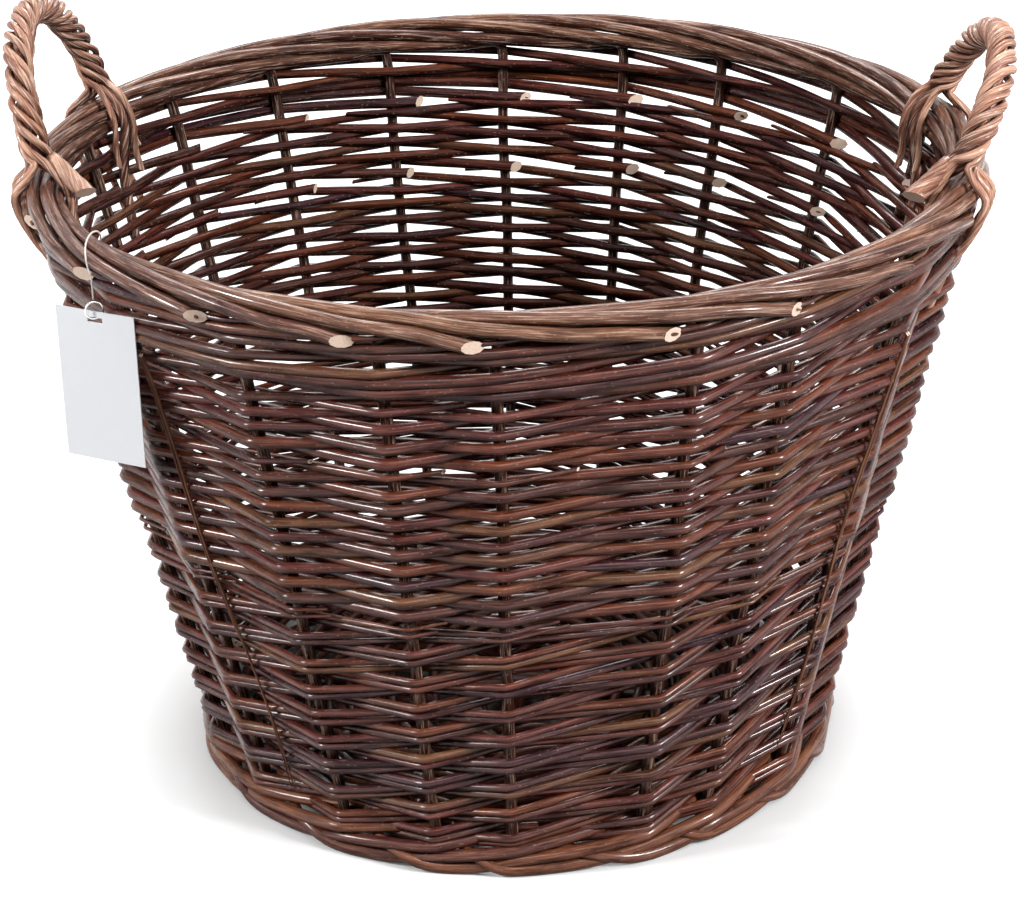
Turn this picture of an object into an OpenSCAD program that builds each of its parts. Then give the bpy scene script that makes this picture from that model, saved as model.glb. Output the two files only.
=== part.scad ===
/* [Basket] */
// Outside width over the border, from handle side to handle side
rim_width = 516; // [440:4:640]
// Outside depth over the border, from front to back
rim_depth = 492; // [420:4:620]
// Outside width of the foot
foot_width = 362; // [300:2:440]
// Height of the border above the floor
body_height = 348; // [290:1:440]
// Height of the band of paired rods above the foot
paired_band_height = 140; // [90:1:180]
// Height of the band of upper weavers, which are started where the middle ones run out
upper_band_height = 38; // [25:1:60]

/* [Rods] */
// Diameter of a side stake at the foot
stake_width = 6.4; // [5:0.1:7.5]
// Diameter of a stake where it lies in the border
border_rod_width = 6; // [4.5:0.1:7]
// Diameter of the thick rods of the foot
foot_rod_width = 6.4; // [5:0.1:7.5]
// Diameter of one thin rod of the paired band
paired_rod_width = 3.4; // [2.6:0.1:4]
// Diameter of a single weaver at its butt
weaver_width = 4.4; // [3.6:0.1:5.6]
// Diameter of a single weaver at its tip
weaver_tip_width = 3.4; // [2.6:0.1:4]
// Diameter of a rod of the close band under the border
close_rod_width = 4.2; // [3.2:0.1:5]
// Diameter of a base stick
stick_width = 8; // [7:0.1:9]
// Diameter of a rod woven through the base
base_rod_width = 5.6; // [4.5:0.1:6.2]
// Diameter of a thin split strand that stands outside the wall
strand_width = 1.8; // [1.2:0.1:2.4]

/* [Handles] */
// Height of the left handle above the border
left_handle_rise = 78; // [60:1:110]
// Height of the right handle above the border
right_handle_rise = 64; // [46:1:90]
// Outward lean of the left handle's top
left_handle_lean = 17; // [4:1:30]
// Outward lean of the right handle's top
right_handle_lean = 24; // [4:1:36]
// Turn of the left handle's middle from the side towards the back
left_handle_turn = 7; // [-10:0.5:10]
// Turn of the right handle's middle from the side towards the back
right_handle_turn = -2.5; // [-10:0.5:10]
// Distance between the two legs of a handle
handle_span = 126; // [110:2:150]
// Diameter of the rod at the core of a handle
bow_width = 6.4; // [5.6:0.1:7.4]
// Diameter of a rod twisted round the core
rope_rod_width = 3.8; // [3.2:0.1:4]

/* [Tag] */
// Width of the card
card_width = 46; // [36:1:52]
// Height of the card
card_height = 82; // [60:1:100]
// Thickness of the card
card_thickness = 0.6; // [0.5:0.1:1.2]
// Turn of the card away from the front
card_turn = 26; // [24:1:40]
// Length of the thread between the border and the ring
thread_length = 13; // [8:1:30]
// Radius of the ring's middle line
ring_radius = 4.5; // [3.5:0.1:6]

/* [Hidden] */

// Clearance between rods that lie against each other
fit = 0.3;
// A stake bends the rod that passes it, which brings the rod nearer by this share
bend_share = 0.92;
// How far a rod's end runs past its last stake, as a share of the space
tail_share = 0.1;

stake_count = 20;
stick_count = 5;
space = 360 / stake_count;
thread_width = 0.9;
ring_wire = 1;
ring_turn = 45;
slot_width = 8.6;
slot_height = 2.8;
card_edge = 3.2;
front = -90;
// Places of the stakes, as shares of a space off their even places
stake_shift_share = [-0.08, 0.2, -0.06, 0.05, -0.05, 0.03, -0.04, 0.08, 0.2, 0.03,
                     0, -0.07, -0.09, -0.1, 0.04, -0.03, 0.05, 0.1, 0.2, 0.18];

// The border's rods lie in a ring, each this many degrees round it from the next
border_step = 50;
border_fit = 0.4;
border_ring = (border_rod_width + border_fit) / (2 * sin(border_step / 2));
border_thick = border_ring + border_rod_width / 2;
border_z = body_height - border_thick;
border_start = 180;
border_reach = 4;

// The floor takes a flat this deep off the lowest rods
floor_flat = 0.5;
foot_step = foot_rod_width + fit;
foot_first = foot_rod_width / 2 - floor_flat;
foot_crossings = 3;
base_z = 12;
tie_width = 3.2;
tie_radius = 27;
tie_turnover = 50;
base_weave_start = 48;
base_weave_end = 148;
base_weave_step = 6.2;

paired_height = 2 * paired_rod_width;
paired_gap = 1.7;
paired_step = paired_height + paired_gap;
paired_first = foot_first + (foot_crossings - 1) * foot_step
  + (foot_rod_width + paired_height) / 2 + fit;
paired_crossings = floor(paired_band_height / paired_step);
paired_last = paired_first + paired_crossings * paired_step;

weaver_gap = 0.3;
weaver_step = weaver_width + weaver_gap;
weaver_first = paired_last + (paired_height + weaver_width) / 2 + fit;
close_gap = 0.35;
close_step = close_rod_width + close_gap;
close_band = 6 * close_step;
close_top = border_z - border_ring * sin(border_reach * border_step - border_start)
  - (border_rod_width + close_rod_width) / 2 - 4 * fit;
upper_crossings = floor(upper_band_height / weaver_step);
middle_crossings = floor((close_top - close_band - weaver_first
  - (weaver_width + close_rod_width) / 2) / weaver_step) - upper_crossings - 1;
upper_first = weaver_first + (middle_crossings + 1) * weaver_step;
close_first = upper_first + upper_crossings * weaver_step
  + (weaver_width + close_rod_width) / 2 + fit;
close_crossings = floor((close_top - close_first) / close_step);

stake_r = stake_width / 2;
rim_x = rim_width / 2 - border_thick;
rim_y = rim_depth / 2 - border_thick;
foot_r = foot_width / 2 - foot_rod_width - (stake_r + fit) / bend_share;

// Half-width of the line of stakes along x and y at a height
function half_x(z) = foot_r + (rim_x - foot_r) * min(1, max(0, z) / border_z);
function half_y(z) = foot_r + (rim_y - foot_r) * min(1, max(0, z) / border_z);

// Angle of stake k, or of a place between two stakes
function even_angle(k) = front + space * k;
function shift(k) = space * stake_shift_share[(k + 2 * stake_count) % stake_count];
function angle(k) = even_angle(k) + shift(floor(k)) * (1 - k + floor(k))
  + shift(floor(k) + 1) * (k - floor(k));

// A point of the wall: an angle, a height and a distance out from the line of stakes
function wall(turn, z, out) =
  [(half_x(z) + out) * cos(turn), (half_y(z) + out) * sin(turn), z];

function unit(v) = v / norm(v);
function flat_to(v, along) = unit(v - along * (v * along));
// Direction of a path at each of its points
function headings(path) = [for (i = [0:len(path) - 1])
  unit(unit(path[min(i + 1, len(path) - 1)] - path[i == len(path) - 1 ? i - 1 : i])
    + unit(path[i == 0 ? 1 : i] - path[max(i - 1, 0)]))];

// A four-cornered face as two triangles
function quad(a, b, c, d) = [[a, b, c], [a, c, d]];

// A solid rod along a path: its radius at each point, its sides and how tall it is
module rod(path, radii, sides = 4, tall = 1, up = [0, 0, 1], turn = 0, upright = false) {
  count = len(path);
  way = headings(path);
  tops = [for (i = 0, n = flat_to(up, way[0]); i < count;
    i = i + 1, n = i < count ? flat_to(upright ? up : n, way[i]) : n) n];
  points = [for (i = [0:count - 1], j = [0:sides - 1])
    let (a = turn + 360 * j / sides)
    path[i] + radii[i] * (tall * cos(a) * tops[i] + sin(a) * cross(way[i], tops[i]))];
  walls = [for (i = [0:count - 2], j = [0:sides - 1])
    each quad(i * sides + j, (i + 1) * sides + j,
      (i + 1) * sides + (j + 1) % sides, i * sides + (j + 1) % sides)];
  first_end = [for (j = [0:sides - 1]) j];
  last_end = [for (j = [sides - 1:-1:0]) (count - 1) * sides + j];
  polyhedron(points, concat(walls, [first_end, last_end]));
}

// Radii that taper evenly from one end of a rod to the other
function taper(count, from, to) = [for (i = [0:count - 1]) from + (to - from) * i / (count - 1)];

// A solid ring along a closed path
module closed_rod(path, r, sides = 6) {
  count = len(path);
  points = [for (i = [0:count - 1], j = [0:sides - 1])
    let (
      way = unit(path[(i + 1) % count] - path[(i + count - 1) % count]),
      top = flat_to([0, 0, 1], way),
      a = 360 * j / sides)
    path[i] + r * (cos(a) * top + sin(a) * cross(way, top))];
  polyhedron(points, [for (i = [0:count - 1], j = [0:sides - 1])
    each quad(i * sides + j, (i + 1) % count * sides + j,
      (i + 1) % count * sides + (j + 1) % sides, i * sides + (j + 1) % sides)]);
}

// Distance of a weaver's middle line from the line of stakes
function away_by(radius) = (stake_r + radius + fit) / bend_share;

// Path of a weaver: it starts at stake k, rises one step at each stake and passes in front
// of some stakes in each period, the first of them at the given place in the period
function weave_path(k, first_z, step, crossings, radius, outs, period, place) =
  let (
    away = away_by(radius),
    line = [for (m = [0:crossings])
      wall(angle(k + m), first_z + m * step, (m + place) % period < outs ? away : -away)],
    last = len(line) - 1)
  concat([line[0] + (line[0] - line[1]) * tail_share], [for (m = [1:last - 1]) line[m]],
    [line[last] + (line[last] - line[last - 1]) * tail_share]);

module weave(first_z, step, crossings, butt_r, tip_r, outs, period, place, tall = 1) {
  for (k = [0:stake_count - 1])
    rod(weave_path(k, first_z, step, crossings, butt_r, outs, period, place),
      taper(crossings + 1, butt_r, tip_r), 4, tall, turn = tall == 1 ? 0 : 45, upright = true);
}

module paired_weavers() color("#6b3a2c")
  weave(paired_first, paired_step, paired_crossings, paired_rod_width / 2,
    paired_rod_width / 2, 1, 2, 0, tall = 2);

module middle_weavers() color("#5d3228")
  weave(weaver_first, weaver_step, middle_crossings, weaver_width / 2,
    weaver_tip_width / 2, 1, 2, 1);

module upper_weavers() color("#623529")
  weave(upper_first, weaver_step, upper_crossings, weaver_width / 2,
    weaver_tip_width / 2, 1, 2, 1);

module close_weavers() color("#643a2d")
  weave(close_first, close_step, close_crossings, close_rod_width / 2,
    close_rod_width / 2, 3, 4, 3);

// The thick rods at the floor pass in front of three stakes and behind the next
module foot_rods() color("#6e4029") {
  r = foot_rod_width / 2;
  for (k = [0:stake_count - 1]) {
    path = weave_path(k, foot_first, foot_step, foot_crossings, r, 3, 4, 0);
    difference() {
      rod(path, taper(len(path), r, r), 6, turn = 30);
      translate([path[0].x, path[0].y, -foot_width / 2]) cube(foot_width, center = true);
    }
  }
}

// Path of one stake: its butt beside a base stick, up the wall, then over and along the border
kink = 4;
function side_of(k) = k % 2 == 0 ? -1 : 1;
function stick_angle(k) = even_angle(2 * floor(k / 2) + 0.5);
function border_point(k, along, phase, ring) =
  wall(angle(k + along), border_z + ring * sin(phase), ring * cos(phase));
function stake_path(k) =
  let (
    a = angle(k),
    beside = side_of(k) * (stick_width / 2 * cos(180 / stick_sides) + stake_r * 0.8 + fit),
    along = [cos(stick_angle(k)), sin(stick_angle(k)), 0],
    aside = [-beside * sin(stick_angle(k)), beside * cos(stick_angle(k)), base_z])
  concat(
    [tip_radius * along + aside, spread_radius * along + aside,
     wall(a, base_z + kink / 4, -kink), wall(a, base_z + 1.5 * kink, 0),
     wall(a, border_z - border_ring - kink, 0)],
    [border_point(k, 0.15, 240, border_ring * 0.7)],
    [for (s = [0.5:0.5:border_reach])
      border_point(k, s, border_start - border_step * s, border_ring)],
    [border_point(k, border_reach + 0.35, -25, border_ring * 1.42)]);

module stake(k) {
  path = stake_path(k);
  color("#54362b") rod(path, concat([stake_r * 0.7, stake_r * 0.8, stake_r, stake_r],
    [for (i = [4:len(path) - 1]) border_rod_width / 2]), 6,
    up = [-sin(angle(k)), cos(angle(k)), 0]);
}

// The base is turned so that its ten stick ends stand midway between pairs of stakes
base_turn = -space / 2;
stick_sides = 8;
stick_gap = stick_width + fit;
stick_end = half_x(base_z) - stake_r - 6;
tip_radius = stick_end - 52;
spread_radius = base_weave_end + 4;
cross_radius = 30;
fan_radius = 44;

// A base stick: the first three lie over the last two, and their ends fan out evenly
module base_stick(n) {
  over = n < 3;
  side = over ? n - 1 : n - 3.5;
  lift = (over ? 1 : -1) * stick_gap / 2;
  half = [[cross_radius, side * stick_gap, base_z + lift],
    [fan_radius * cos(2 * side * space), fan_radius * sin(2 * side * space), base_z],
    [stick_end * cos(2 * side * space), stick_end * sin(2 * side * space), base_z]];
  path = concat([for (i = [2:-1:0]) [-half[i].x, half[i].y, half[i].z]], half);
  color("#7a5a3c") rotate([0, 0, base_turn + (over ? 0 : 90)])
    rod(path, taper(len(path), stick_width / 2, stick_width / 2), stick_sides,
      turn = 180 / stick_sides);
}

// Tie round the crossing: over the three upper sticks and under the two lower ones
module base_slath_tie() color("#6b4a35") {
  r = tie_width / 2;
  rise = stick_gap / 2 + stick_width / 2 + r + fit;
  count = 24;
  path = [for (i = [0:count - 1])
    let (a = 360 * (i + 0.5) / count, fold = abs((a + 90) % 180 - 90))
    [tie_radius * cos(a), tie_radius * sin(a),
     base_z + rise * max(-1, min(1, (tie_turnover - fold) / 18))]];
  rotate([0, 0, base_turn]) closed_rod(path, r);
}

// Two rods spiral out, over one stick and under the next, the second opposite to the first
module base_weave() color("#5f3d2e") {
  r = base_rod_width / 2;
  away = (stick_width / 2 + r + fit);
  crossings = floor((base_weave_end - base_weave_start) / base_weave_step) * stick_count;
  for (strand = [0, 1]) {
    path = [for (i = [0:crossings])
      let (
        out = base_weave_start + base_weave_step * i / stick_count,
        steep = atan(away / (out * sin(space))),
        a = base_turn + 2 * space * i + 180 * strand)
      [out * cos(a), out * sin(a), base_z + (i % 2 == 0 ? 1 : -1) * away / cos(steep)]];
    rod(path, taper(len(path), r, r * 0.8), 4);
  }
}

// A thin split strand stands outside the wall: its places are counted in stakes
module side_strand(places, top_z, low_z) {
  r = strand_width / 2;
  away = away_by(weaver_width / 2);
  path = [for (i = [0:8])
    let (
      place = places[0] + (places[1] - places[0]) * i / 8,
      z = top_z + (low_z - top_z) * i / 8,
      to_next = place - floor(place),
      off = 2 * abs(to_next - 0.5) * away + weaver_width / 2 + r + 2 * fit)
    wall(angle(floor(place)), z, off) * (1 - to_next)
      + wall(angle(floor(place) + 1), z, off) * to_next];
  rod(path, taper(len(path), r, r), 4);
}
module left_side_strand() color("#7d5a3e")
  side_strand([17.22, 17.5], border_z - 42, base_z + 12);
module right_side_strand() color("#7d5a3e")
  side_strand([2.97, 2.76], border_z - 48, base_z + 28);

// Handles are built on the right and mirrored for the left one
bow_r = bow_width / 2;
rope_r = rope_rod_width / 2;
rope_count = 6;
rope_steps = 24;
rope_step = 60;
rope_ring = (bow_r + rope_r + fit) / cos(rope_step / 2);
leg_top = body_height + rope_ring + rope_r + 2 * fit;
leg_angle = asin(handle_span / 2 / rim_y);
weave_out = away_by(weaver_width / 2) + weaver_width / 2 + fit;
leg_in = -(weave_out + bow_r);
leg_bend = 22.5;
bow_hug = (border_thick + bow_r + fit) / cos(leg_bend);
rope_hug = (border_thick + rope_r + 3 * fit) / cos(leg_bend);
over_bow = bow_r + rope_r + fit;
stub_room = 1;
bow_low = border_z - 72;
liner_low = border_z - 38;
tuck_low = border_z - 54;
under_border = border_z - border_thick - kink;

// A point beside a leg: the handle's turn, the leg's side, its height, its distance out
// and its place inwards
function beside_leg(turn, side, z, out, inward) =
  let (a = turn + side * leg_angle)
  wall(a, z, out) - side * inward * [-sin(a), cos(a), 0];

// A point on a ring round the border's middle line, at a leg
function round_border(turn, side, ring, phase, inward) =
  beside_leg(turn, side, border_z + ring * sin(phase), ring * cos(phase), inward);

// The bow's middle line over the border, from the front leg to the back leg
function bow_arch(turn, rise, lean) =
  let (
    front_foot = wall(turn - leg_angle, leg_top, 0),
    back_foot = wall(turn + leg_angle, leg_top, 0),
    top_z = body_height + rise - rope_ring - rope_r)
  [for (i = [0:rope_steps])
    let (b = 180 * i / rope_steps)
    front_foot * (1 + cos(b)) / 2 + back_foot * (1 - cos(b)) / 2
      + sin(b) * [lean * cos(turn), lean * sin(turn), top_z - leg_top]];

// The bow's leg from the arch down: over the border and down inside the wall
function bow_leg(turn, side) = [
  round_border(turn, side, bow_hug, 135, 0), round_border(turn, side, bow_hug, 180, 0),
  beside_leg(turn, side, under_border, leg_in, 0), beside_leg(turn, side, bow_low, leg_in, 0)];

function backwards(list) = [for (i = [len(list) - 1:-1:0]) list[i]];

module bow(turn, rise, lean) color("#5a3a2d") {
  path = concat(backwards(bow_leg(turn, -1)), bow_arch(turn, rise, lean), bow_leg(turn, 1));
  rod(path, taper(len(path), bow_r, bow_r), 5, up = [1, 0, 0]);
}

// End of a rope rod at one leg, from the arch down: outside the border, or inside beside or
// on the bow
function rope_end(turn, side, phase) =
  let (
    inward = rope_ring * sin(phase) * 1.12,
    on_bow = cos(phase) < -0.9,
    hug = on_bow ? bow_hug + over_bow / cos(leg_bend) : rope_hug,
    low = on_bow ? leg_in - over_bow : leg_in)
  cos(phase) > 0
    ? [round_border(turn, side, rope_hug, 62, inward),
       round_border(turn, side, rope_hug + stub_room, 18, inward),
       beside_leg(turn, side, under_border, rope_hug + stub_room, inward),
       beside_leg(turn, side, tuck_low, weave_out + rope_r + fit, inward)]
    : [round_border(turn, side, hug, 135, inward), round_border(turn, side, hug, 180, inward),
       beside_leg(turn, side, under_border, low, inward),
       beside_leg(turn, side, liner_low, low, inward)];

module rope(turn, rise, lean) color("#84604a") {
  arch = bow_arch(turn, rise, lean);
  way = headings(arch);
  for (strand = [0:rope_count - 1]) {
    phase = 360 / rope_count * strand;
    coil = [for (i = [0:rope_steps])
      let (
        a = phase + rope_step * i,
        facing = turn + leg_angle * (2 * i / rope_steps - 1),
        n = flat_to([cos(facing), sin(facing), 0], way[i]))
      arch[i] + rope_ring * (cos(a) * n + sin(a) * cross(way[i], n))];
    path = concat(backwards(rope_end(turn, -1, phase)), coil,
      rope_end(turn, 1, phase + rope_step * rope_steps));
    rod(path, taper(len(path), rope_r, rope_r), 4, up = [1, 0, 0]);
  }
}

module left_handle_bow()
  mirror([1, 0, 0]) bow(left_handle_turn, left_handle_rise, left_handle_lean);
module left_handle_rope()
  mirror([1, 0, 0]) rope(left_handle_turn, left_handle_rise, left_handle_lean);
module right_handle_bow() bow(right_handle_turn, right_handle_rise, right_handle_lean);
module right_handle_rope() rope(right_handle_turn, right_handle_rise, right_handle_lean);

// Tag: a thread over the border, a ring on it and a card on the ring
thread_r = thread_width / 2;
wire_r = ring_wire / 2;
thread_hug = (border_thick + thread_r + fit) / cos(10);
tag_place = angle(17.0) - 0.4;
tag_back = 8;
thread_foot = wall(tag_place, border_z, thread_hug);
card_right = [cos(card_turn), -sin(card_turn), 0];
card_front = [-sin(card_turn), -cos(card_turn), 0];
ring_middle = thread_foot - [0, 0, thread_length + ring_radius + wire_r + thread_r + fit];
card_hang = ring_middle - [0, 0, ring_radius - wire_r - 0.2];

module tag_thread_loop() color("#e9e6de") {
  path = [for (i = [0:9])
    let (p = 170 - 172 * i / 9)
    wall(tag_place - tag_back * (1 - i / 9), border_z + thread_hug * sin(p),
      thread_hug * cos(p))];
  rod(path, taper(len(path), thread_r, thread_r), 5);
}

module tag_thread() color("#e9e6de")
  translate(thread_foot - [0, 0, thread_length])
    cylinder(r = thread_r, h = thread_length - 2 * thread_r - fit, $fn = 24);

module tag_ring() color("#c9c9c9")
  translate(ring_middle) rotate([0, 0, -card_turn - ring_turn]) rotate([0, 90, 0])
    rotate_extrude($fn = 48) translate([ring_radius, 0]) circle(r = wire_r, $fn = 16);

module tag_card() color("#f4f3f1")
  translate(card_hang) rotate([0, 0, -card_turn]) difference() {
    translate([-card_width / 2, -card_thickness / 2, card_edge - card_height])
      cube([card_width, card_thickness, card_height]);
    translate([-slot_width / 2, -card_thickness, -slot_height])
      cube([slot_width, 2 * card_thickness, slot_height]);
  }

for (k = [0:stake_count - 1])
  stake(k);
for (n = [0:stick_count - 1])
  base_stick(n);
base_slath_tie();
base_weave();
foot_rods();
paired_weavers();
middle_weavers();
upper_weavers();
close_weavers();
left_side_strand();
right_side_strand();
left_handle_bow();
left_handle_rope();
right_handle_bow();
right_handle_rope();
tag_thread_loop();
tag_thread();
tag_ring();
tag_card();
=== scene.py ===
import math
import random
import bmesh
import bpy
from mathutils import Matrix, Vector


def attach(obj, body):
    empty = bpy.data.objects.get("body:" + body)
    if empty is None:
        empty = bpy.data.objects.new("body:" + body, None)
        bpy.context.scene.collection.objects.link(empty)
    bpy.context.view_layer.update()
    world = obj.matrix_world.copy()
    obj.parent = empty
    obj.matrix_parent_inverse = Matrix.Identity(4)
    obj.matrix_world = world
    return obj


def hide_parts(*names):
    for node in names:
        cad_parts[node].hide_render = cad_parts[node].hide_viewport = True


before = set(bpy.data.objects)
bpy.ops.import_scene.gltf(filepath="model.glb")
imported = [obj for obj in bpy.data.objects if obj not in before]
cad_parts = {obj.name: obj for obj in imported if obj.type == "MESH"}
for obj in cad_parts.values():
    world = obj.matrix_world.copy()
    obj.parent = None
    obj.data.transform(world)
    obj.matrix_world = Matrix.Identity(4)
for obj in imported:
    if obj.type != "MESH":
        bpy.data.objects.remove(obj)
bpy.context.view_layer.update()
scene = bpy.context.scene
print("frame loaded:", len(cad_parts), "nodes")


# ---- one socket with operators, and one board that adds every node

class Wire:
    def __init__(self, board, socket):
        self.board = board
        self.socket = socket

    def __add__(self, other):
        return self.board.combined("ADD", self, other)

    def __radd__(self, other):
        return self.board.combined("ADD", other, self)

    def __sub__(self, other):
        return self.board.combined("SUBTRACT", self, other)

    def __mul__(self, other):
        return self.board.combined("MULTIPLY", self, other)

    def out(self, name):
        return Wire(self.board, self.socket.node.outputs[name])


class Board:
    def __init__(self, tree):
        self.tree = tree

    def add(self, kind, sockets=None, **settings):
        node = self.tree.nodes.new(kind)
        for name, value in settings.items():
            setattr(node, name, value)
        for name, value in (sockets or {}).items():
            for one in value if isinstance(value, list) else [value]:
                if isinstance(one, Wire):
                    self.tree.links.new(one.socket, node.inputs[name])
                else:
                    node.inputs[name].default_value = one
        shown = [s for s in node.outputs if s.enabled]
        return Wire(self, shown[0]) if shown else None

    def combined(self, operation, first, second):
        return self.add("ShaderNodeMath", {0: first, 1: second}, operation=operation)

    def vector(self, operation, first, second=None):
        sockets = {0: first}
        if second is not None:
            sockets["Scale" if operation == "SCALE" else 1] = second
        return self.add("ShaderNodeVectorMath", sockets, operation=operation)

    def triple(self, x=0, y=0, z=0):
        return self.add("ShaderNodeCombineXYZ", {"X": x, "Y": y, "Z": z})

    def attribute(self, name, output):
        return self.add("ShaderNodeAttribute", attribute_name=name).out(output)

    def objectPlace(self):
        return self.add("ShaderNodeTexCoord").out("Object")

    def noise(self, vector, scale, detail, roughness=0.5):
        return self.add("ShaderNodeTexNoise", {
            "Vector": vector, "Scale": scale, "Detail": detail, "Roughness": roughness})

    def ranged(self, value, fromLow, fromHigh, toLow, toHigh):
        return self.add("ShaderNodeMapRange", {
            "Value": value, "From Min": fromLow, "From Max": fromHigh, "To Min": toLow, "To Max": toHigh})

    def ramp(self, value, stops):
        wire = self.add("ShaderNodeValToRGB", {"Fac": value})
        elements = wire.socket.node.color_ramp.elements
        while len(elements) < len(stops):
            elements.new(1)
        for element, (spot, shade) in zip(elements, stops):
            element.position = spot
            element.color = (*shade, 1)
        return wire

    def mixed(self, how, share, first, second):
        return self.add("ShaderNodeMix", {0: share, 6: first, 7: second},
                        data_type="RGBA", blend_type=how, clamp_result=False)

    def bump(self, strength, distance, height):
        return self.add("ShaderNodeBump", {"Strength": strength, "Distance": distance, "Height": height})


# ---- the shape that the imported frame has, in metres

basket = {
    "rimWidth": 0.516, "rimDepth": 0.492, "footWidth": 0.362, "height": 0.348,
    "stakes": 20, "stakeWidth": 0.0064, "footRodWidth": 0.0064,
    "borderRodWidth": 0.006, "borderClearance": 0.0004, "bendShare": 0.92, "clearance": 0.0003,
    "stakeShift": [-0.08, 0.2, -0.06, 0.05, -0.05, 0.03, -0.04, 0.08, 0.2, 0.03,
                   0, -0.07, -0.09, -0.1, 0.04, -0.03, 0.05, 0.1, 0.2, 0.18],
}
clearance = basket["clearance"]
stakes = basket["stakes"]
stakeRadius = basket["stakeWidth"] / 2
borderRadius = basket["borderRodWidth"] / 2
space = 360 / stakes
borderStep = 50
borderRing = ((basket["borderRodWidth"] + basket["borderClearance"])
              / (2 * math.sin(math.radians(borderStep / 2))))
borderThick = borderRing + borderRadius
borderZ = basket["height"] - borderThick
rimX = basket["rimWidth"] / 2 - borderThick
rimY = basket["rimDepth"] / 2 - borderThick
footRadius = (basket["footWidth"] / 2 - basket["footRodWidth"]
              - (stakeRadius + clearance) / basket["bendShare"])
baseZ = 0.012


def sinD(degrees):
    return math.sin(math.radians(degrees))


def cosD(degrees):
    return math.cos(math.radians(degrees))


def polar(radius, degrees, z=0):
    return Vector((radius * cosD(degrees), radius * sinD(degrees), z))


def halfWidths(z):
    share = min(1, max(0, z) / borderZ)
    return footRadius + (rimX - footRadius) * share, footRadius + (rimY - footRadius) * share


def wallPoint(turn, z, out):
    halfX, halfY = halfWidths(z)
    return Vector(((halfX + out) * cosD(turn), (halfY + out) * sinD(turn), z))


def stakeAngle(place):
    k = math.floor(place)
    shift = basket["stakeShift"]
    here, after = shift[k % stakes], shift[(k + 1) % stakes]
    return -90 + space * (place + here * (1 - place + k) + after * (place - k))


def betweenStakes(place, z, out, arcShare):
    k = math.floor(place)
    chord = wallPoint(stakeAngle(k), z, out).lerp(wallPoint(stakeAngle(k + 1), z, out), place - k)
    return chord.lerp(wallPoint(stakeAngle(place), z, out), arcShare)


def rounded(points, steps):
    # a smooth line through all the points
    ends = [points[0] * 2 - points[1]] + points + [points[-1] * 2 - points[-2]]
    line = []
    for a, b, c, d in zip(ends, ends[1:], ends[2:], ends[3:]):
        slopeB, slopeC = (c - a) * 0.5, (d - b) * 0.5
        for i in range(steps):
            t = i / steps
            line.append(b * (2 * t ** 3 - 3 * t ** 2 + 1) + slopeB * (t ** 3 - 2 * t ** 2 + t)
                        + c * (3 * t ** 2 - 2 * t ** 3) + slopeC * (t ** 3 - t ** 2))
    return line + [points[-1].copy()]


tipThinning = 0.55


def taper(count, thick, thin, tipShare=0):
    # radii from butt to tip; the last share of the rod thins further
    radii = []
    for i in range(count):
        t = i / (count - 1)
        radius = thick + (thin - thick) * t
        if tipShare and t > 1 - tipShare:
            radius *= 1 - tipThinning * (t - 1 + tipShare) / tipShare
        radii.append(radius)
    return radii


def flared(radii, count, extra):
    # a thicker butt at the start of a rod
    return [radius * (1 + extra * max(0, 1 - i / count)) for i, radius in enumerate(radii)]


# ---- materials

def blank(name):
    material = bpy.data.materials.new(name)
    material.use_nodes = True
    material.node_tree.nodes.clear()
    board = Board(material.node_tree)
    board.material = material
    return board


def covered(board, shader):
    board.add("ShaderNodeOutputMaterial", {"Surface": shader})
    return board.material


def surface(board, sockets):
    shader = board.add("ShaderNodeBsdfPrincipled", sockets)
    return covered(board, shader)


# times per metre across and along a rod
barkScales = {"patches": (210, 210, 38), "streaks": (1100, 1100, 48), "fine": (1500, 1500, 700),
              "pores": (420, 420, 210)}
grainScale = (2200, 2200, 300)
barkGloss = {"Specular IOR Level": 0.08, "Coat Roughness": 0.17}
white = (1, 1, 1)
bright = (1.3, 1.3, 1.3)


def barkMaterial(name, hues, patchTint, scuffs, scuffColour, poreColour, roughness, shine, bump):
    board = blank(name)
    along = board.attribute("rodSpace", "Vector")
    # side holds the painted light and shade: low on the undersides and inner faces, high on the tops and outer
    # faces
    side = board.attribute("rodShade", "Fac")
    scaled = {part: board.vector("MULTIPLY", along, scale) for part, scale in barkScales.items()}
    patches = board.noise(scaled["patches"], 1, 4, 0.6)
    streaks = board.noise(scaled["streaks"], 1, 4, 0.68)
    fine = board.noise(scaled["fine"], 1, 3, 0.6)
    pores = board.add("ShaderNodeTexVoronoi", {"Vector": scaled["pores"], "Scale": 1})
    colour = board.ramp(board.attribute("rodTint", "Fac"), hues)
    # the last ramp paints shade and light: it darkens the undersides and inner faces of each rod and lightens
    # its tops
    for share, value, stops in [
            (0.85, patches, [(0.34, (0.40, 0.35, 0.40)), (0.5, white), (0.64, patchTint)]),
            (0.9, streaks, [(0.36, (0.32, 0.24, 0.24)), (0.52, white), (0.68, bright)]),
            (1.0, side, [(0.08, (0.16, 0.12, 0.12)), (0.42, (0.62, 0.57, 0.57)),
                         (0.62, white), (0.9, bright)])]:
        colour = board.mixed("MULTIPLY", share, colour, board.ramp(value, stops))
    colour = board.mixed("MIX", board.ranged(streaks, 0.53, 0.66, 0, scuffs), colour, scuffColour)
    poreMark = board.ranged(pores, 0.12, 0.18, 0.36, 0)
    colour = board.mixed("MIX", poreMark, colour, poreColour)
    height = streaks * 0.6 + fine * 0.3 + patches * 0.7 + poreMark * 0.4
    # the coat that makes the highlights lies only on the upper and outer sides, picked by the painted light and
    # shade so the undersides show no reflection, and is worn off in places
    sheenOnLitSides = board.ranged(side, 0.55, 0.85, 0, shine)
    unworn = board.ranged(patches, 0.36, 0.58, 0.25, 1)
    return surface(board, {"Base Color": colour, "Normal": board.bump(bump, 0.0006, height),
                           "Roughness": board.ranged(patches, 0.3, 0.7, roughness - 0.09, roughness + 0.12),
                           "Coat Weight": sheenOnLitSides * unworn, **barkGloss})


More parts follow.
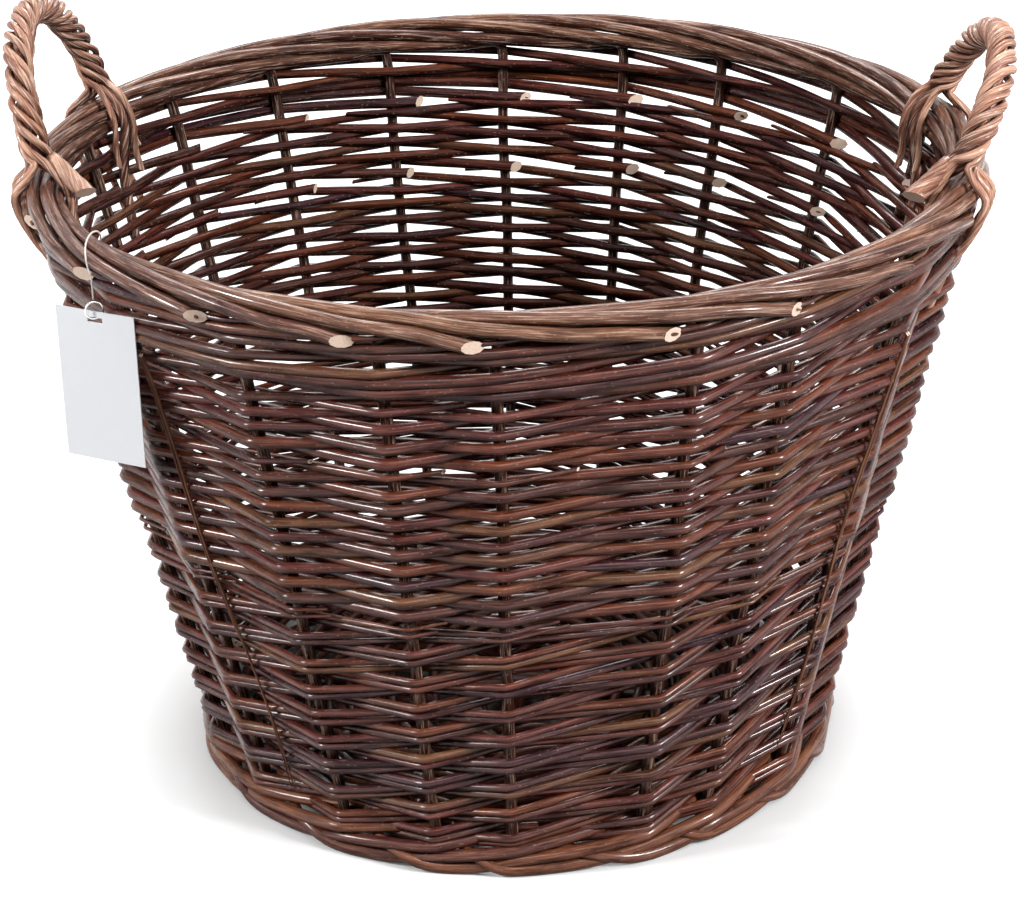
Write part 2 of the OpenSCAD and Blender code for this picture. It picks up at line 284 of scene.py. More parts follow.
def cutMaterial():
    board = blank("freshCutWood")
    along = board.attribute("rodSpace", "Vector")
    fromPith = board.vector("LENGTH", board.vector("MULTIPLY", along, (1, 1, 0)))
    pith = board.ranged(fromPith, 0.0003, 0.0009, 0, 1)
    grain = board.noise(board.vector("MULTIPLY", along, grainScale), 1, 3)
    colour = board.mixed("MIX", pith, (0.40, 0.25, 0.16, 1), (0.80, 0.62, 0.50, 1))
    grainShade = board.ramp(grain, [(0.3, (0.6, 0.5, 0.42)), (0.62, white)])
    return surface(board, {"Base Color": board.mixed("MULTIPLY", 0.55, colour, grainShade),
                           "Roughness": grain * 0.2 + 0.6, "Normal": board.bump(0.5, 0.0003, grain)})


wallHues = [(0, (0.087, 0.018, 0.012)), (0.18, (0.122, 0.032, 0.012)), (0.36, (0.05, 0.013, 0.012)),
            (0.55, (0.099, 0.022, 0.017)), (0.72, (0.068, 0.023, 0.015)), (0.86, (0.04, 0.011, 0.018)),
            (1, (0.122, 0.048, 0.02))]
# the first stop is painted shade: the dark tint of the stakes where they stand among the weavers
borderHues = [(0, (0.055, 0.02, 0.013)), (0.2, (0.155, 0.06, 0.036)), (0.4, (0.09, 0.031, 0.021)),
              (0.6, (0.195, 0.088, 0.052)), (0.8, (0.115, 0.045, 0.032)), (1, (0.22, 0.104, 0.052))]
footHues = [(0, (0.12, 0.034, 0.018)), (0.3, (0.074, 0.02, 0.015)), (0.6, (0.15, 0.05, 0.022)),
            (1, (0.095, 0.03, 0.02))]
ropeHues = [(0, (0.35, 0.145, 0.092)), (0.3, (0.54, 0.295, 0.2)), (0.6, (0.225, 0.082, 0.058)),
            (0.8, (0.64, 0.39, 0.275)), (1, (0.39, 0.175, 0.115))]
stripHues = [(0, (0.12, 0.044, 0.028)), (1, (0.175, 0.075, 0.045))]

# hues, tint of the patches, share and colour of the scuffs, colour of the pores, roughness, shine, bump
barkLooks = {
    "wallBark": (wallHues, (1.0, 0.86, 0.72), 0.34, (0.26, 0.115, 0.075, 1), (0.34, 0.2, 0.14, 1),
                 0.27, 0.75, 0.9),
    "borderBark": (borderHues, (1.0, 0.93, 0.84), 0.5, (0.66, 0.46, 0.35, 1), (0.42, 0.28, 0.2, 1),
                   0.35, 0.85, 1.0),
    "footBark": (footHues, (1.0, 0.9, 0.78), 0.36, (0.3, 0.15, 0.085, 1), (0.33, 0.19, 0.12, 1),
                 0.3, 0.75, 0.8),
    "ropeBark": (ropeHues, (1.0, 0.92, 0.82), 0.95, (0.78, 0.6, 0.48, 1), (0.46, 0.3, 0.22, 1),
                 0.38, 0.7, 1.0),
    "splitWillow": (stripHues, (1.0, 0.94, 0.86), 0.3, (0.34, 0.19, 0.12, 1), (0.3, 0.18, 0.11, 1),
                    0.5, 0.1, 0.4),
}
finish = {name: barkMaterial(name, *look) for name, look in barkLooks.items()}
finish["cutWood"] = cutMaterial()
print("bark materials made:", len(finish))


# ---- the geometry tree that turns lines into willow rods

lookInputs = ("Sides", "Ring Spacing", "Uneven Thickness", "Wander", "Twist",
              "Bud Spacing", "Bud Size", "Bud Share", "Cut Slant")
# the values of lookInputs for each kind of rod
rodLooks = {
    "foot": (10, 0.005, 0.07, 0.0005, 0.0, 0.05, 0.42, 0.55, 0.55),
    "paired": (7, 0.0037, 0.13, 0.0006, 0.0, 0.045, 0.5, 0.4, 0.6),
    "single": (8, 0.0035, 0.13, 0.0006, 0.0, 0.05, 0.5, 0.45, 1.1),
    "close": (8, 0.005, 0.08, 0.0004, 0.0, 0.05, 0.5, 0.4, 1.1),
    "stake": (10, 0.005, 0.08, 0.0005, 0.0, 0.05, 0.6, 0.5, 1.5),
    "baseStick": (9, 0.005, 0.08, 0.0004, 0.0, 0.06, 0.35, 0.5, 0.3),
    "slathTie": (9, 0.005, 0.08, 0.0004, 0.0, 0.06, 0.35, 0.0, 0.3),
    "baseWeave": (9, 0.005, 0.08, 0.0004, 0.0, 0.06, 0.35, 0.3, 0.3),
    "handle": (10, 0.0026, 0.22, 0.0010, 90.0, 0.03, 0.5, 0.35, 0.7),
    "strand": (6, 0.005, 0.2, 0.0008, 0.0, 0.04, 0.5, 0.0, 0.8),
}


def willowTree():
    tree = bpy.data.node_groups.new("willowRods", "GeometryNodeTree")
    kinds = {"Lines": "Geometry", "Bark": "Material", "Cut Wood": "Material", "Seed": "Int", "Sides": "Int"}
    inputs = {}
    for name in ("Lines", "Bark", "Cut Wood", "Seed") + lookInputs:
        inputs[name] = tree.interface.new_socket(
            name=name, in_out="INPUT", socket_type="NodeSocket" + kinds.get(name, "Float")).identifier
    tree.interface.new_socket(name="Rods", in_out="OUTPUT", socket_type="NodeSocketGeometry")
    board = Board(tree)
    given = board.add("NodeGroupInput")
    seed = given.out("Seed")
    position = board.add("GeometryNodeInputPosition")

    def stored(geometry, name, value, kind="FLOAT", domain="POINT"):
        return board.add("GeometryNodeStoreNamedAttribute",
                         {"Geometry": geometry, "Name": name, "Value": value}, data_type=kind, domain=domain)

    def named(name, kind="FLOAT"):
        return board.add("GeometryNodeInputNamedAttribute", {"Name": name}, data_type=kind)

    def drawn(low, high, seedFactor):
        return board.add("FunctionNodeRandomValue", {"Min": low, "Max": high, "Seed": seed * seedFactor},
                         data_type="FLOAT")

    along, key, width = named("rodAlong"), named("rodKey"), named("rodWidth")
    isCut = named("cutFace", "BOOLEAN")

    # the lines get even rings, an uneven thickness and a slight wander
    curve = board.add("GeometryNodeMeshToCurve", {"Mesh": given.out("Lines")})
    curve = board.add("GeometryNodeResampleCurve", {"Curve": curve, "Length": given.out("Ring Spacing")},
                      mode="LENGTH")
    curve = stored(curve, "rodAlong", board.add("GeometryNodeSplineParameter").out("Length"))
    spot = board.triple(along, key * 37.0, seed * 1.7)
    lumps = board.noise(spot, 28, 2, 0.6)
    uneven = 1 + (lumps - 0.5) * 2 * given.out("Uneven Thickness")
    curve = stored(curve, "rodWidth", named("rodRadius") * uneven)
    drift = board.vector("SUBTRACT", board.noise(spot, 14, 1).out("Color"), (0.5, 0.5, 0.5))
    curve = board.add("GeometryNodeSetPosition", {
        "Geometry": curve, "Offset": board.vector("SCALE", drift, given.out("Wander") * 2)})
    curve = stored(curve, "rodWay", board.add("GeometryNodeInputTangent"), "FLOAT_VECTOR")
    curve = stored(curve, "rodMiddle", position, "FLOAT_VECTOR")
    isStart, isEnd = [board.add("GeometryNodeCurveEndpointSelection", {
        "Start Size": size, "End Size": 1 - size}) for size in (1, 0)]
    curve = stored(curve, "rodEnd", isEnd - isStart)
    curve = board.add("GeometryNodeSetCurveTilt", {"Curve": curve, "Tilt": along * given.out("Twist")})

    # the sweep, with its place on the rod, and painted light and shade for the materials from the way each
    # point faces
    profile = board.add("GeometryNodeCurvePrimitiveCircle", {"Resolution": given.out("Sides"), "Radius": 1.0})
    profile = stored(profile, "ringPlace", position, "FLOAT_VECTOR")
    body = board.add("GeometryNodeCurveToMesh", {
        "Curve": curve, "Profile Curve": profile, "Scale": width, "Fill Caps": True})
    ring = board.add("ShaderNodeSeparateXYZ", {"Vector": named("ringPlace", "FLOAT_VECTOR")})
    body = stored(body, "rodSpace", board.triple(
        ring.out("X") * width + key * 3.1, ring.out("Y") * width, along + key * 7.3), "FLOAT_VECTOR")
    middle = named("rodMiddle", "FLOAT_VECTOR")
    outwards = board.vector("NORMALIZE", board.vector("MULTIPLY", middle, (1, 1, 0)))
    ringArm = board.vector("SUBTRACT", position, middle)
    reach = board.vector("DOT_PRODUCT", ringArm, outwards)
    upwards = board.add("ShaderNodeSeparateXYZ", {"Vector": ringArm}).out("Z")
    # painted light and shade: 0.5 plus how far the point faces up and outwards, so the bark is painted darker
    # below and inside and lighter on top and outside
    body = stored(body, "rodShade", board.combined("DIVIDE", upwards * 0.5 + reach * 0.24, width) + 0.5)

    # slanting cuts at the ends
    slant = reach * named("rodFace") * given.out("Cut Slant") * named("rodEnd") * -1
    body = board.add("GeometryNodeSetPosition", {
        "Geometry": body, "Offset": board.vector("SCALE", named("rodWay", "FLOAT_VECTOR"), slant)})
    corners = board.add("GeometryNodeInputMeshFaceNeighbors").out("Vertex Count")
    isCap = board.add("FunctionNodeCompare", {"A": corners, "B": 4}, data_type="INT", operation="GREATER_THAN")
    body = stored(body, "cutFace", isCap, "BOOLEAN", "FACE")
    body = board.add("GeometryNodeSetShadeSmooth", {
        "Geometry": body, "Shade Smooth": board.add("FunctionNodeBooleanMath", {0: isCut}, operation="NOT")})

    # buds, on some of the points along the rods
    points = board.add("GeometryNodeCurveToPoints", {"Curve": curve, "Length": given.out("Bud Spacing")},
                       mode="LENGTH")
    keep = board.add("FunctionNodeRandomValue", {"Probability": given.out("Bud Share"), "Seed": seed * 3},
                     data_type="BOOLEAN")
    bud = board.add("GeometryNodeMeshUVSphere", {"Segments": 6, "Rings": 4, "Radius": 1.0})
    bud = board.add("GeometryNodeTransform", {
        "Geometry": bud, "Scale": (0.34, 0.62, 1.5), "Rotation": (0, math.radians(9), 0)})
    spin = board.add("FunctionNodeEulerToRotation", {"Euler": board.triple(z=drawn(0.0, 6.283, 5))})
    turned = board.add("FunctionNodeRotateRotation", {
        "Rotation": points.out("Rotation"), "Rotate By": spin}, rotation_space="LOCAL")
    budSize = drawn(0.6, 1.1, 7) * width * given.out("Bud Size")
    buds = board.add("GeometryNodeInstanceOnPoints", {
        "Points": points, "Selection": keep, "Instance": bud, "Rotation": turned,
        "Scale": board.vector("SCALE", (1, 1, 1), budSize)})
    buds = board.add("GeometryNodeTranslateInstances", {
        "Instances": buds, "Local Space": True, "Translation": board.triple(width * 0.93)})
    buds = board.add("GeometryNodeRealizeInstances", {"Geometry": buds})
    buds = stored(buds, "rodSpace", board.vector("ADD", position, (3.0, 5.0, 7.0)), "FLOAT_VECTOR")
    # the buds get one middling value of painted light and shade
    buds = stored(buds, "rodShade", 0.6)
    buds = board.add("GeometryNodeSetShadeSmooth", {"Geometry": buds})

    whole = board.add("GeometryNodeJoinGeometry", {"Geometry": [body, buds]})
    whole = board.add("GeometryNodeRealizeInstances", {"Geometry": whole})
    whole = board.add("GeometryNodeSetMaterial", {"Geometry": whole, "Material": given.out("Bark")})
    whole = board.add("GeometryNodeSetMaterial", {
        "Geometry": whole, "Selection": isCut, "Material": given.out("Cut Wood")})
    board.add("NodeGroupOutput", {"Rods": whole})
    return tree, inputs


willow, willowInputs = willowTree()


def plainMesh(thing, name):
    # the evaluated shape as a mesh with no modifier, which replaces the thing's own
    graph = bpy.context.evaluated_depsgraph_get()
    mesh = bpy.data.meshes.new_from_object(thing.evaluated_get(graph), depsgraph=graph)
    old = thing.data
    thing.modifiers.clear()
    thing.data = mesh
    mesh.name = name
    bpy.data.meshes.remove(old)


def linked(name, data):
    thing = bpy.data.objects.new(name, data)
    scene.collection.objects.link(thing)
    return thing


def claim(piece, body, node):
    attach(piece, body)
    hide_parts(node)


def grown(line, radii, key, tint, faces=(1, 1)):
    # faces: 1 where the cut at the start or the end looks outwards, -1 where it looks inwards
    return {"line": line, "radii": radii, "key": key, "tint": tint, "faces": faces}


def rodPiece(name, rods, look, seed, bark, node, floor=False):
    vertices, edges, radii, keys, tints, looking = [], [], [], [], [], []
    for rod in rods:
        first = len(vertices)
        line = rod["line"]
        count = len(line)
        vertices += line
        edges += [(first + i, first + i + 1) for i in range(count - 1)]
        radii += rod["radii"]
        keys += [rod["key"]] * count
        tints += rod["tint"] if isinstance(rod["tint"], list) else [rod["tint"]] * count
        startFace, endFace = rod["faces"]
        looking += [startFace] * (count // 2) + [endFace] * (count - count // 2)
    mesh = bpy.data.meshes.new(name + "Lines")
    mesh.from_pydata([tuple(v) for v in vertices], edges, [])
    for label, values in [("rodRadius", radii), ("rodKey", keys), ("rodTint", tints), ("rodFace", looking)]:
        mesh.attributes.new(label, "FLOAT", "POINT").data.foreach_set("value", values)
    piece = linked(name, mesh)
    growth = piece.modifiers.new("willow", "NODES")
    growth.node_group = willow
    for label, value in {"Bark": finish[bark], "Cut Wood": finish["cutWood"], "Seed": seed,
                         **dict(zip(lookInputs, rodLooks[look]))}.items():
        growth[willowInputs[label]] = value
    plainMesh(piece, name)
    if floor:
        for vertex in piece.data.vertices:
            vertex.co.z = max(0, vertex.co.z)
    claim(piece, "basket", node)


def shades(seed, count):
    # a key and a tint for each rod
    chance = random.Random(seed)
    return [(chance.random(), chance.random()) for i in range(count)]


# ---- the wall: rods that pass in front of some stakes and behind the others

weave = {"steps": 10, "sway": 0.3, "ease": 0.03}


def awayBy(radius):
    return (stakeRadius + radius + clearance) / basket["bendShare"]


def weaverLine(band, start, firstZ, step, crossings, away, chance, startTail, endTail):
    # in front of the first stakes of each period and behind the last, one step higher at each
    looseness, arcShare = band["looseness"], band["arcShare"]
    stops = []
    for m in range(crossings + 1):
        side = 1 if (m + band["offset"]) % band["period"] < band["period"] - 1 else -1
        stops.append((start + m, firstZ + m * step + chance.uniform(-1, 1) * looseness,
                      side * (away + chance.uniform(0, 1) * looseness * weave["sway"])))
    line = []
    place, z, out = stops[0]
    for tail in (startTail, startTail / 2):
        line.append(betweenStakes(place - tail, z - step * tail, out * (1 - 2 * tail), arcShare))
    for (placeA, zA, outA), (placeB, zB, outB) in zip(stops, stops[1:]):
        for i in range(weave["steps"]):
            t = i / weave["steps"]
            eased = (1 - weave["ease"]) * t + weave["ease"] * t * t * (3 - 2 * t)
            line.append(betweenStakes(placeA + t, zA + (zB - zA) * t, outA + (outB - outA) * eased, arcShare))
    place, z, out = stops[-1]
    for tail in (0, endTail):
        line.append(betweenStakes(place + tail, z + step * tail, out * (1 - 2 * tail), arcShare))
    return line


footRods = {"floorFlat": 0.0005, "crossings": 3, "seed": 11, "buttRings": 16, "buttShare": 0.6,
            "period": 4, "offset": 0, "arcShare": 0.8, "looseness": 0.0003,
            "hook": [(-0.75, 0.0150, -0.002), (-0.6, 0.0130, 0.003), (-0.45, 0.0104, 0.0070),
                     (-0.28, 0.0072, 0.0090), (-0.12, 0.0047, 0.0092), (0.05, 0.0034, 0.0084),
                     (0.25, 0.0034, 0.0078), (0.5, 0.0044, 0.0075), (0.75, 0.0064, 0.0074)]}
footRodWidth = basket["footRodWidth"]
footStep = footRodWidth + clearance
footFirst = footRodWidth / 2 - footRods["floorFlat"]


def footRodLines():
    # each comes out from under the one before in a hook, and ends behind its last stake
    rods = []
    radius = footRodWidth / 2
    rings, buttShare = footRods["buttRings"], footRods["buttShare"]
    for k, (key, tint) in enumerate(shades(footRods["seed"], stakes)):
        chance = random.Random(k + 500)
        line = weaverLine(footRods, k, footFirst, footStep, footRods["crossings"], awayBy(radius), chance,
                          startTail=0.13, endTail=0.2)[2:]
        hook = [betweenStakes(k + spot, z, out, footRods["arcShare"]) for spot, z, out in footRods["hook"]]
        line = rounded(hook + [line[weave["steps"]]], 4)[:-1] + line[weave["steps"]:]
        thick = radius * chance.uniform(1.08, 1.24)
        radii = taper(len(line), thick, thick * 0.9)
        for i in range(rings):
            radii[i] *= buttShare + (1 - buttShare) * i / rings
        rods.append(grown(line, radii, key, tint, (-1, -1)))
    return rods


rodPiece("footRods", footRodLines(), "foot", 3, "footBark", "foot_rods", floor=True)

pairedBand = {"rodWidth": 0.0034, "gap": 0.0017, "height": 0.140, "thickest": 0.0052, "apart": 1.3,
              "period": 2, "offset": 0, "arcShare": 0.04, "looseness": 0.0012}
pairedTall = 2 * pairedBand["rodWidth"]
pairedStep = pairedTall + pairedBand["gap"]
pairedFirst = (footFirst + (footRods["crossings"] - 1) * footStep
               + (footRodWidth + pairedTall) / 2 + clearance)
pairedCrossings = math.floor(pairedBand["height"] / pairedStep)
pairedLast = pairedFirst + pairedCrossings * pairedStep


def pairedLines():
    rods = []
    radius = pairedBand["rodWidth"] / 2
    for k in range(stakes):
        for j, (key, tint) in zip((-1, 1), shades(k + 900, 2)):
            chance = random.Random(k * 2 + j + 700)
            thick = pairedBand["thickest"] / 2 * chance.uniform(0.86, 1.04)
            line = weaverLine(pairedBand, k, pairedFirst + j * radius * pairedBand["apart"], pairedStep,
                              pairedCrossings, awayBy(radius) + 0.0005, chance,
                              startTail=0.8, endTail=chance.uniform(0.28, 0.45))
            rods.append(grown(line, taper(len(line), thick, thick * 0.84, 0.04), key, tint, (1, -1)))
    return rods


singleBand = {"width": 0.0044, "gap": 0.0003, "upperHeight": 0.038, "thickest": 0.0061, "further": 0.0004,
              "period": 2, "offset": 1, "arcShare": 0.04, "looseness": 0.0013, "startTails": (0.1, 0.2),
              "endTails": (0.36, 0.5), "shares": (0.86, 1.12), "thin": 0.86, "tip": 0.015, "flare": 0.16}
closeBand = {"width": 0.0042, "gap": 0.00035, "rows": 6, "thickest": 0.0067, "further": 0,
             "period": 4, "offset": 3, "arcShare": 0.6, "looseness": 0.0008, "startTails": (0.12, 0.3),
             "endTails": (0.1, 0.3), "shares": (0.84, 1.06), "thin": 0.8, "tip": 0.1, "flare": 0.1,
             "lower": 0.0010, "spread": 1.08}
singleStep = singleBand["width"] + singleBand["gap"]
singleFirst = pairedLast + (pairedTall + singleBand["width"]) / 2 + clearance
closeStep = closeBand["width"] + closeBand["gap"]
closeTop = (borderZ - borderRing * sinD(4 * borderStep - 180)
            - (basket["borderRodWidth"] + closeBand["width"]) / 2 - 4 * clearance)
singleToClose = (singleBand["width"] + closeBand["width"]) / 2
upperCrossings = math.floor(singleBand["upperHeight"] / singleStep)
middleCrossings = math.floor((closeTop - closeBand["rows"] * closeStep - singleFirst - singleToClose)
                             / singleStep) - upperCrossings - 1
upperFirst = singleFirst + (middleCrossings + 1) * singleStep
closeFirst = upperFirst + upperCrossings * singleStep + singleToClose + clearance
closeCrossings = math.floor((closeTop - closeFirst) / closeStep)
flareRings = 12


def bandLines(band, firstZ, step, crossings, seed, chanceSeed):
    rods = []
    for k, (key, tint) in enumerate(shades(seed, stakes)):
        chance = random.Random(k + chanceSeed)
        line = weaverLine(band, k, firstZ, step, crossings, awayBy(band["width"] / 2) + band["further"], chance,
                          chance.uniform(*band["startTails"]), chance.uniform(*band["endTails"]))
        thick = band["thickest"] / 2 * chance.uniform(*band["shares"])
        radii = flared(taper(len(line), thick, thick * band["thin"], band["tip"]), flareRings, band["flare"])
        rods.append(grown(line, radii, key, tint, (-1, 1)))
    return rods


for band, rods, look, seed in [
        ("paired", pairedLines(), "paired", 5),
        ("middle", bandLines(singleBand, singleFirst, singleStep, middleCrossings, 31, 3100), "single", 7),
        ("upper", bandLines(singleBand, upperFirst, singleStep, upperCrossings, 37, 3700), "single", 7),
        ("close", bandLines(closeBand, closeFirst - closeBand["lower"], closeStep * closeBand["spread"],
                            closeCrossings + 1, 41, 4100), "close", 9)]:
    rodPiece(band + "Weavers", rods, look, seed, "wallBark", band + "_weavers")
print("wall woven")


# ---- stakes, which end as the rolled border

baseSticks = {"width": 0.008, "crossRadius": 0.030, "fanRadius": 0.044, "tip": 0.0038}
baseWeave = {"rodWidth": 0.0056, "start": 0.048, "end": 0.148, "step": 0.0062, "outer": 0.1675}
stickEnd = halfWidths(baseZ)[0] - stakeRadius - 0.006
tipRadius = stickEnd - 0.052
spreadRadius = baseWeave["end"] + 0.004
kink = 0.004
buttShare = 0.8
buttRings = 30
octagon = cosD(22.5)
# each end runs inside, rolls over the top and comes down outside: place along, phase, width of the roll
borderRoll = [(0.3, 238, 0.9), (0.8, 211, 0.92), (1.3, 183, 0.95), (1.8, 154, 0.98), (2.3, 124, 1.0),
              (2.8, 96, 1.02), (3.3, 68, 1.02), (3.8, 40, 1.03), (4.3, 13, 1.06), (4.6, -6, 1.12)]
borderStub = (4.82, -21, 1.36)
borderButt, borderThinning = 1.22, 0.06


def borderPoint(k, along, phase, wide):
    ring = borderRing * wide
    return wallPoint(stakeAngle(k + along), borderZ + ring * sinD(phase), ring * cosD(phase))


def stakeLine(k, chance):
    turn = stakeAngle(k)
    stickAngle = -90 + space * (2 * (k // 2) + 0.5)
    side = -1 if k % 2 == 0 else 1
    beside = side * (baseSticks["width"] / 2 * octagon + stakeRadius * buttShare + clearance)
    along = polar(1, stickAngle)
    aside = Vector((-beside * sinD(stickAngle), beside * cosD(stickAngle), baseZ))
    foot = [radius * along + aside for radius in (tipRadius, spreadRadius - 0.008, spreadRadius)]
    foot += [wallPoint(turn, baseZ + kink / 4, -kink), wallPoint(turn, baseZ + 1.5 * kink, 0)]
    tall = borderZ - borderRing - 2.5 * kink - baseZ
    climb = [wallPoint(turn + chance.uniform(-0.16, 0.16), baseZ + 1.5 * kink + tall * i / 6, 0)
             for i in range(1, 6)]
    neck = [wallPoint(turn, borderZ - borderRing - kink, 0), borderPoint(k, 0.1, 246, 0.8)]
    roll = [borderPoint(k, spot, phase + chance.uniform(-5, 5), wide * chance.uniform(0.97, 1.04))
            for spot, phase, wide in borderRoll]
    wall = foot + climb + neck
    return rounded(wall + roll + [borderPoint(k, *borderStub)], 10), len(wall) * 10


for k, (key, tint) in enumerate(shades(51, stakes)):
    line, bend = stakeLine(k, random.Random(k + 60))
    upper = len(line) - bend
    thick = stakeRadius * random.Random(k + 80).uniform(0.96, 1.04)
    radii = ([stakeRadius * buttShare] * buttRings + [thick] * (bend - buttRings)
             + [borderRadius * (borderButt - borderThinning * i / upper) for i in range(upper)])
    # a dark tint in the wall, painted shade for the stakes among the weavers, and the rod's own from the border
    # on
    tints = [0.0] * (bend - 20) + [(0.2 + 0.8 * tint) * min(1, i / 14) for i in range(upper + 20)]
    rodPiece("stake%02d" % (k + 1), [grown(line, radii, key, tints)], "stake", 13 + k, "borderBark",
             "stake_%02d" % (k + 1))
print("stakes and border laid")


# ---- the base

baseTurn = -space / 2
stickGap = baseSticks["width"] + clearance


def turnedLine(points, degrees):
    spin = Matrix.Rotation(math.radians(degrees), 3, "Z")
    return [spin @ p for p in points]


# three sticks lie over two
for n, (key, tint) in enumerate(shades(61, 5)):
    over = n < 3
    side = n - 1 if over else n - 3.5
    lift = (1 if over else -1) * stickGap / 2
    fan = 2 * side * space
    half = [Vector((baseSticks["crossRadius"], side * stickGap, baseZ + lift))]
    half += [polar(radius, fan, baseZ) for radius in (baseSticks["fanRadius"], stickEnd)]
    path = [Vector((-p.x, p.y, p.z)) for p in reversed(half)] + half
    line = rounded(turnedLine(path, baseTurn + (0 if over else 90)), 12)
    rodPiece("baseStick%d" % (n + 1),
             [grown(line, taper(len(line), baseSticks["width"] / 2, baseSticks["tip"]), key, tint)],
             "baseStick", 17 + n, "footBark", "base_stick_%d" % (n + 1))

slathTie = {"width": 0.0032, "radius": 0.027, "turnover": 50, "steepness": 18, "corners": 24}


def tieLine():
    rise = stickGap / 2 + baseSticks["width"] / 2 + slathTie["width"] / 2 + clearance
    points = []
    for i in range(slathTie["corners"] + 1):
        a = 360 * (i + 0.5) / slathTie["corners"]
        fold = abs((a + 90) % 180 - 90)
        share = max(-1, min(1, (slathTie["turnover"] - fold) / slathTie["steepness"]))
        points.append(polar(slathTie["radius"], a, baseZ + rise * share))
    return rounded(turnedLine(points, baseTurn), 6)


tie = tieLine()
rodPiece("slathTie", [grown(tie, [slathTie["width"] / 2] * len(tie), 0.3, 0.6)], "slathTie", 23,
         "wallBark", "base_slath_tie")


def baseWeaveRods():
    radius = baseWeave["rodWidth"] / 2
    away = baseSticks["width"] / 2 + radius + clearance
    turns = math.floor((baseWeave["outer"] - baseWeave["start"]) / baseWeave["step"] + 1e-9)
    rods = []
    for strand, (key, tint) in enumerate(shades(71, 2)):
        line = []
        for i in range(turns * 5 * 6 + 1):
            at = i / 6
            out = baseWeave["start"] + baseWeave["step"] * at / 5
            steep = math.atan(away / (out * sinD(space)))
            a = baseTurn + 2 * space * at + 180 * strand
            line.append(polar(out, a, baseZ + math.cos(math.pi * at) * away / math.cos(steep) * 0.97))
        rods.append(grown(line, taper(len(line), radius, radius * 0.8), key, tint))
    return rods


rodPiece("baseWeave", baseWeaveRods(), "baseWeave", 29, "wallBark", "base_weave")
print("base woven")


# ---- handles: a bow with rods twisted round it

handles = {
    "span": 0.126, "bowWidth": 0.0064, "ropeRodWidth": 0.0038, "strands": 6, "steps": 24, "stepTurn": 60,
    "finePoints": 3, "thickest": (1.08, 1.34), "stubShare": 2.5, "stubRings": 14,
    "sides": {"left": {"rise": 0.078, "lean": 0.017, "turn": 7, "mirror": -1, "seed": 81},
              "right": {"rise": 0.064, "lean": 0.024, "turn": -2.5, "mirror": 1, "seed": 91}},
}
bowRadius = handles["bowWidth"] / 2
ropeRadius = handles["ropeRodWidth"] / 2
ropeRing = (bowRadius + ropeRadius + clearance) / cosD(handles["stepTurn"] / 2)
legTop = basket["height"] + ropeRing + ropeRadius + 2 * clearance
legAngle = math.degrees(math.asin(handles["span"] / 2 / rimY))
weaveOut = awayBy(singleBand["width"] / 2) + singleBand["width"] / 2 + clearance
legIn = -(weaveOut + bowRadius)
bowHug = (borderThick + bowRadius + clearance) / octagon
ropeHug = (borderThick + ropeRadius + 3 * clearance) / octagon
overBow = bowRadius + ropeRadius + clearance
bowLow, linerLow, tuckLow = borderZ - 0.072, borderZ - 0.038, borderZ - 0.054
underBorder = borderZ - borderThick - kink
borderTop = borderZ + borderThick
# a phase round the border, or a height and a place outwards, and how far the rod spreads there
outsideRound = [(62, 1.3), (18, 1.7), (-22, 2.1)]
outsideTuck = [(underBorder - 0.004, weaveOut + 0.001, 2.5), (underBorder - 0.016, weaveOut - 0.004, 2.8),
               (tuckLow, 0.0005, 3)]
insideRound = [(135, 1.2), (180, 1.5)]
bareStub = [(borderTop - 0.0005, -0.0165, 0.009), (borderTop - 0.0060, -0.0225, 0.014)]


def besideLeg(turn, side, z, out, inward):
    a = turn + side * legAngle
    return wallPoint(a, z, out) - side * inward * Vector((-sinD(a), cosD(a), 0))


def roundBorder(turn, side, ring, phase, inward):
    return besideLeg(turn, side, borderZ + ring * sinD(phase), ring * cosD(phase), inward)


def bowArch(turn, rise, lean):
    front, back = wallPoint(turn - legAngle, legTop, 0), wallPoint(turn + legAngle, legTop, 0)
    topZ = basket["height"] + rise - ropeRing - ropeRadius
    arch = []
    for i in range(handles["steps"] + 1):
        b = 180 * i / handles["steps"]
        arch.append(front * (1 + cosD(b)) / 2 + back * (1 - cosD(b)) / 2
                    + sinD(b) * polar(lean, turn, topZ - legTop))
    return arch


def bowLine(turn, rise, lean):
    legs = [[roundBorder(turn, side, bowHug, phase, 0) for phase in (135, 180)]
            + [besideLeg(turn, side, z, out, 0)
               for z, out in [(underBorder, legIn * 0.9), (linerLow, legIn * 0.3), (bowLow, 0)]]
            for side in (-1, 1)]
    return legs[0][::-1] + bowArch(turn, rise, lean) + legs[1]


def ropeEnd(turn, side, phase, chance):
    # outside ends go round the border and into the weave, inside ends lie on it; one front end is a bare stub
    inward = ropeRing * sinD(phase) * 1.12
    onBow = cosD(phase) < -0.9
    hug = bowHug + overBow / octagon if onBow else ropeHug
    low = legIn - overBow if onBow else legIn
    if cosD(phase) > 0:
        return ([roundBorder(turn, side, ropeHug, a, inward * spread) for a, spread in outsideRound]
                + [besideLeg(turn, side, z, out, inward * spread) for z, out, spread in outsideTuck])
    if onBow and side < 0:
        return [roundBorder(turn, side, hug, 112, inward - 0.003)] + [
            besideLeg(turn, side, z, out, inward - apart) for z, out, apart in bareStub]
    shorter = chance.uniform(0, 0.012)
    return [roundBorder(turn, side, hug, a, inward * spread) for a, spread in insideRound] + [
        besideLeg(turn, side, underBorder, low, inward * 1.8),
        besideLeg(turn, side, linerLow + 0.010 + shorter, low, inward * 2)]


